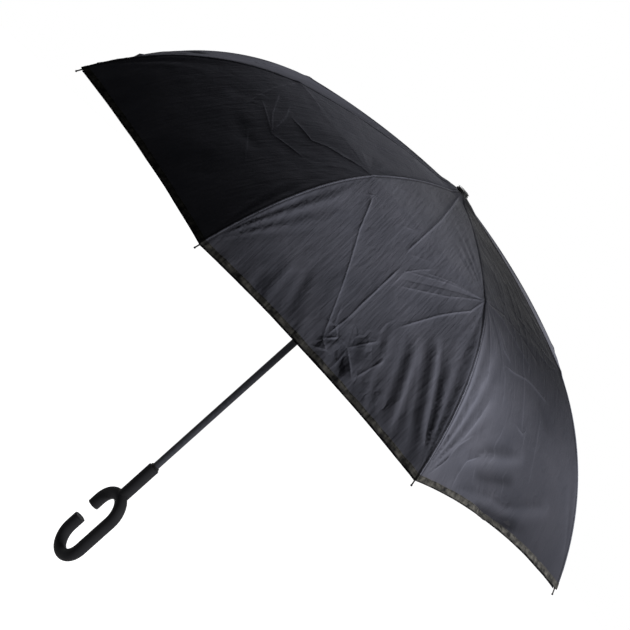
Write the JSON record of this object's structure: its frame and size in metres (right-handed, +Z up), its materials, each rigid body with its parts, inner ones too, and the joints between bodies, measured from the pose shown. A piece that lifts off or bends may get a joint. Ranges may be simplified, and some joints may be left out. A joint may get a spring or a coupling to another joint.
{
  "type": "inverted umbrella",
  "caption": "Open double-layer inverted umbrella with a straight shaft, a hooked C handle and a folding rib linkage whose tips turn up and over the top as it closes.",
  "frame": {"origin": "on the shaft's axis where the handle's stem meets the top of the loop, where the hand holds the umbrella", "axes": "+Z up along the shaft to the canopy's top; +X towards the straight side of the handle's loop, -X towards its open side; the loop lies in the XZ plane"},
  "size_m": [1.0256, 1.0256, 0.8032],
  "materials": {
    "canopy_cloth": "black satin woven polyester",
    "lining_cloth": "black woven polyester lining",
    "shaft_enamel": "black satin enamel on steel tube",
    "grip_rubber": "black soft-touch rubber coating",
    "black_plastic": "black moulded plastic",
    "stretcher_steel": "black coated steel strip",
    "ring_wire": "drawn steel wire",
    "rod_glassfibre": "black glass-fibre rod"
  },
  "bodies": {
    "root": {"shaft_tube": "shaft_enamel", "handle_loop": "grip_rubber", "handle_stem": "grip_rubber", "stem_collar": "black_plastic", "top_notch": "black_plastic", "notch_ring": "ring_wire", "top_cap": "black_plastic", "outer_canopy": "canopy_cloth", "lining": "lining_cloth"},
    "catch": {"shaft_catch": "ring_wire"},
    "runner": {"runner": "black_plastic", "runner_ring": "ring_wire"},
    "stretcher_1": {"stretcher_1": "stretcher_steel", "joint_rivet_1": "ring_wire"},
    "rib_1": {"rib_1": "stretcher_steel"},
    "rod_inner_1": {"rod_inner_1": "rod_glassfibre"},
    "rod_outer_1": {"rod_outer_1": "rod_glassfibre", "rib_tip_1": "black_plastic"},
    "stretcher_2": {"stretcher_2": "stretcher_steel", "joint_rivet_2": "ring_wire"},
    "rib_2": {"rib_2": "stretcher_steel"},
    "rod_inner_2": {"rod_inner_2": "rod_glassfibre"},
    "rod_outer_2": {"rod_outer_2": "rod_glassfibre", "rib_tip_2": "black_plastic"},
    "stretcher_3": {"stretcher_3": "stretcher_steel", "joint_rivet_3": "ring_wire"},
    "rib_3": {"rib_3": "stretcher_steel"},
    "rod_inner_3": {"rod_inner_3": "rod_glassfibre"},
    "rod_outer_3": {"rod_outer_3": "rod_glassfibre", "rib_tip_3": "black_plastic"},
    "stretcher_4": {"stretcher_4": "stretcher_steel", "joint_rivet_4": "ring_wire"},
    "rib_4": {"rib_4": "stretcher_steel"},
    "rod_inner_4": {"rod_inner_4": "rod_glassfibre"},
    "rod_outer_4": {"rod_outer_4": "rod_glassfibre", "rib_tip_4": "black_plastic"},
    "stretcher_5": {"stretcher_5": "stretcher_steel", "joint_rivet_5": "ring_wire"},
    "rib_5": {"rib_5": "stretcher_steel"},
    "rod_inner_5": {"rod_inner_5": "rod_glassfibre"},
    "rod_outer_5": {"rod_outer_5": "rod_glassfibre", "rib_tip_5": "black_plastic"},
    "stretcher_6": {"stretcher_6": "stretcher_steel", "joint_rivet_6": "ring_wire"},
    "rib_6": {"rib_6": "stretcher_steel"},
    "rod_inner_6": {"rod_inner_6": "rod_glassfibre"},
    "rod_outer_6": {"rod_outer_6": "rod_glassfibre", "rib_tip_6": "black_plastic"},
    "stretcher_7": {"stretcher_7": "stretcher_steel", "joint_rivet_7": "ring_wire"},
    "rib_7": {"rib_7": "stretcher_steel"},
    "rod_inner_7": {"rod_inner_7": "rod_glassfibre"},
    "rod_outer_7": {"rod_outer_7": "rod_glassfibre", "rib_tip_7": "black_plastic"},
    "stretcher_8": {"stretcher_8": "stretcher_steel", "joint_rivet_8": "ring_wire"},
    "rib_8": {"rib_8": "stretcher_steel"},
    "rod_inner_8": {"rod_inner_8": "rod_glassfibre"},
    "rod_outer_8": {"rod_outer_8": "rod_glassfibre", "rib_tip_8": "black_plastic"}
  },
  "joints": [
    {"name": "canopy_fold", "type": "hinge", "parent": "root", "child": "stretcher_1", "pos_m": [0.01083, -0.00191, 0.66], "axis": [0.1736, 0.9848, 0], "range_deg": [0, 73], "deforming": ["outer_canopy", "lining"]},
    {"name": "rib_turn_1", "type": "hinge", "parent": "stretcher_1", "child": "rib_1", "pos_m": [0.28653, -0.05052, 0.6066], "axis": [0.1736, 0.9848, 0], "range_deg": [-147, 0]},
    {"name": "rod_straighten_1", "type": "hinge", "parent": "rib_1", "child": "rod_inner_1", "pos_m": [0.29754, -0.05246, 0.60224], "axis": [0.1736, 0.9848, 0], "range_deg": [-43.34, 0]},
    {"name": "rod_unbend_1", "type": "hinge", "parent": "rod_inner_1", "child": "rod_outer_1", "pos_m": [0.41568, -0.0733, 0.52816], "axis": [0.1736, 0.9848, 0], "range_deg": [-22.9, 0]},
    {"name": "stretcher_fold_2", "type": "hinge", "parent": "root", "child": "stretcher_2", "pos_m": [0.00901, 0.00631, 0.66], "axis": [-0.5736, 0.8192, 0], "range_deg": [0, 73]},
    {"name": "rib_turn_2", "type": "hinge", "parent": "stretcher_2", "child": "rib_2", "pos_m": [0.23833, 0.16688, 0.6066], "axis": [-0.5736, 0.8192, 0], "range_deg": [-147, 0]},
    {"name": "rod_straighten_2", "type": "hinge", "parent": "rib_2", "child": "rod_inner_2", "pos_m": [0.24749, 0.1733, 0.60224], "axis": [-0.5736, 0.8192, 0], "range_deg": [-43.34, 0]},
    {"name": "rod_unbend_2", "type": "hinge", "parent": "rod_inner_2", "child": "rod_outer_2", "pos_m": [0.34576, 0.2421, 0.52816], "axis": [-0.5736, 0.8192, 0], "range_deg": [-22.9, 0]},
    {"name": "stretcher_fold_3", "type": "hinge", "parent": "root", "child": "stretcher_3", "pos_m": [0.00191, 0.01083, 0.66], "axis": [-0.9848, 0.1736, 0], "range_deg": [0, 73]},
    {"name": "rib_turn_3", "type": "hinge", "parent": "stretcher_3", "child": "rib_3", "pos_m": [0.05052, 0.28653, 0.6066], "axis": [-0.9848, 0.1736, 0], "range_deg": [-147, 0]},
    {"name": "rod_straighten_3", "type": "hinge", "parent": "rib_3", "child": "rod_inner_3", "pos_m": [0.05246, 0.29754, 0.60224], "axis": [-0.9848, 0.1736, 0], "range_deg": [-43.34, 0]},
    {"name": "rod_unbend_3", "type": "hinge", "parent": "rod_inner_3", "child": "rod_outer_3", "pos_m": [0.0733, 0.41568, 0.52816], "axis": [-0.9848, 0.1736, 0], "range_deg": [-22.9, 0]},
    {"name": "stretcher_fold_4", "type": "hinge", "parent": "root", "child": "stretcher_4", "pos_m": [-0.00631, 0.00901, 0.66], "axis": [-0.8192, -0.5736, 0], "range_deg": [0, 73]},
    {"name": "rib_turn_4", "type": "hinge", "parent": "stretcher_4", "child": "rib_4", "pos_m": [-0.16688, 0.23833, 0.6066], "axis": [-0.8192, -0.5736, 0], "range_deg": [-147, 0]},
    {"name": "rod_straighten_4", "type": "hinge", "parent": "rib_4", "child": "rod_inner_4", "pos_m": [-0.1733, 0.24749, 0.60224], "axis": [-0.8192, -0.5736, 0], "range_deg": [-43.34, 0]},
    {"name": "rod_unbend_4", "type": "hinge", "parent": "rod_inner_4", "child": "rod_outer_4", "pos_m": [-0.2421, 0.34576, 0.52816], "axis": [-0.8192, -0.5736, 0], "range_deg": [-22.9, 0]},
    {"name": "stretcher_fold_5", "type": "hinge", "parent": "root", "child": "stretcher_5", "pos_m": [-0.01083, 0.00191, 0.66], "axis": [-0.1736, -0.9848, 0], "range_deg": [0, 73]},
    {"name": "rib_turn_5", "type": "hinge", "parent": "stretcher_5", "child": "rib_5", "pos_m": [-0.28653, 0.05052, 0.6066], "axis": [-0.1736, -0.9848, 0], "range_deg": [-147, 0]},
    {"name": "rod_straighten_5", "type": "hinge", "parent": "rib_5", "child": "rod_inner_5", "pos_m": [-0.29754, 0.05246, 0.60224], "axis": [-0.1736, -0.9848, 0], "range_deg": [-43.34, 0]},
    {"name": "rod_unbend_5", "type": "hinge", "parent": "rod_inner_5", "child": "rod_outer_5", "pos_m": [-0.41568, 0.0733, 0.52816], "axis": [-0.1736, -0.9848, 0], "range_deg": [-22.9, 0]},
    {"name": "stretcher_fold_6", "type": "hinge", "parent": "root", "child": "stretcher_6", "pos_m": [-0.00901, -0.00631, 0.66], "axis": [0.5736, -0.8192, 0], "range_deg": [0, 73]},
    {"name": "rib_turn_6", "type": "hinge", "parent": "stretcher_6", "child": "rib_6", "pos_m": [-0.23833, -0.16688, 0.6066], "axis": [0.5736, -0.8192, 0], "range_deg": [-147, 0]},
    {"name": "rod_straighten_6", "type": "hinge", "parent": "rib_6", "child": "rod_inner_6", "pos_m": [-0.24749, -0.1733, 0.60224], "axis": [0.5736, -0.8192, 0], "range_deg": [-43.34, 0]},
    {"name": "rod_unbend_6", "type": "hinge", "parent": "rod_inner_6", "child": "rod_outer_6", "pos_m": [-0.34576, -0.2421, 0.52816], "axis": [0.5736, -0.8192, 0], "range_deg": [-22.9, 0]},
    {"name": "stretcher_fold_7", "type": "hinge", "parent": "root", "child": "stretcher_7", "pos_m": [-0.00191, -0.01083, 0.66], "axis": [0.9848, -0.1736, 0], "range_deg": [0, 73]},
    {"name": "rib_turn_7", "type": "hinge", "parent": "stretcher_7", "child": "rib_7", "pos_m": [-0.05052, -0.28653, 0.6066], "axis": [0.9848, -0.1736, 0], "range_deg": [-147, 0]},
    {"name": "rod_straighten_7", "type": "hinge", "parent": "rib_7", "child": "rod_inner_7", "pos_m": [-0.05246, -0.29754, 0.60224], "axis": [0.9848, -0.1736, 0], "range_deg": [-43.34, 0]},
    {"name": "rod_unbend_7", "type": "hinge", "parent": "rod_inner_7", "child": "rod_outer_7", "pos_m": [-0.0733, -0.41568, 0.52816], "axis": [0.9848, -0.1736, 0], "range_deg": [-22.9, 0]},
    {"name": "stretcher_fold_8", "type": "hinge", "parent": "root", "child": "stretcher_8", "pos_m": [0.00631, -0.00901, 0.66], "axis": [0.8192, 0.5736, 0], "range_deg": [0, 73]},
    {"name": "rib_turn_8", "type": "hinge", "parent": "stretcher_8", "child": "rib_8", "pos_m": [0.16688, -0.23833, 0.6066], "axis": [0.8192, 0.5736, 0], "range_deg": [-147, 0]},
    {"name": "rod_straighten_8", "type": "hinge", "parent": "rib_8", "child": "rod_inner_8", "pos_m": [0.1733, -0.24749, 0.60224], "axis": [0.8192, 0.5736, 0], "range_deg": [-43.34, 0]},
    {"name": "rod_unbend_8", "type": "hinge", "parent": "rod_inner_8", "child": "rod_outer_8", "pos_m": [0.2421, -0.34576, 0.52816], "axis": [0.8192, 0.5736, 0], "range_deg": [-22.9, 0]},
    {"name": "runner_level", "type": "hinge", "parent": "rib_1", "child": "runner", "pos_m": [0.01083, -0.00191, 0.55319], "axis": [0.1736, 0.9848, 0], "range_deg": [0, 74]},
    {"name": "catch_press", "type": "slide", "parent": "root", "child": "catch", "axis": [-0.9763, -0.2164, 0], "range_m": [0, 0.003], "stiffness_N_per_m": 300}
  ],
  "couplings": [
    {"joint": "rib_turn_1", "follows": "canopy_fold", "ratio": -2},
    {"joint": "rod_straighten_1", "follows": "canopy_fold", "ratio": -0.58},
    {"joint": "rod_unbend_1", "follows": "canopy_fold", "ratio": -0.3},
    {"joint": "stretcher_fold_2", "follows": "canopy_fold", "ratio": 1},
    {"joint": "rib_turn_2", "follows": "canopy_fold", "ratio": -2},
    {"joint": "rod_straighten_2", "follows": "canopy_fold", "ratio": -0.58},
    {"joint": "rod_unbend_2", "follows": "canopy_fold", "ratio": -0.3},
    {"joint": "stretcher_fold_3", "follows": "canopy_fold", "ratio": 1},
    {"joint": "rib_turn_3", "follows": "canopy_fold", "ratio": -2},
    {"joint": "rod_straighten_3", "follows": "canopy_fold", "ratio": -0.58},
    {"joint": "rod_unbend_3", "follows": "canopy_fold", "ratio": -0.3},
    {"joint": "stretcher_fold_4", "follows": "canopy_fold", "ratio": 1},
    {"joint": "rib_turn_4", "follows": "canopy_fold", "ratio": -2},
    {"joint": "rod_straighten_4", "follows": "canopy_fold", "ratio": -0.58},
    {"joint": "rod_unbend_4", "follows": "canopy_fold", "ratio": -0.3},
    {"joint": "stretcher_fold_5", "follows": "canopy_fold", "ratio": 1},
    {"joint": "rib_turn_5", "follows": "canopy_fold", "ratio": -2},
    {"joint": "rod_straighten_5", "follows": "canopy_fold", "ratio": -0.58},
    {"joint": "rod_unbend_5", "follows": "canopy_fold", "ratio": -0.3},
    {"joint": "stretcher_fold_6", "follows": "canopy_fold", "ratio": 1},
    {"joint": "rib_turn_6", "follows": "canopy_fold", "ratio": -2},
    {"joint": "rod_straighten_6", "follows": "canopy_fold", "ratio": -0.58},
    {"joint": "rod_unbend_6", "follows": "canopy_fold", "ratio": -0.3},
    {"joint": "stretcher_fold_7", "follows": "canopy_fold", "ratio": 1},
    {"joint": "rib_turn_7", "follows": "canopy_fold", "ratio": -2},
    {"joint": "rod_straighten_7", "follows": "canopy_fold", "ratio": -0.58},
    {"joint": "rod_unbend_7", "follows": "canopy_fold", "ratio": -0.3},
    {"joint": "stretcher_fold_8", "follows": "canopy_fold", "ratio": 1},
    {"joint": "rib_turn_8", "follows": "canopy_fold", "ratio": -2},
    {"joint": "rod_straighten_8", "follows": "canopy_fold", "ratio": -0.58},
    {"joint": "rod_unbend_8", "follows": "canopy_fold", "ratio": -0.3},
    {"joint": "runner_level", "follows": "canopy_fold", "ratio": 1}
  ]
}
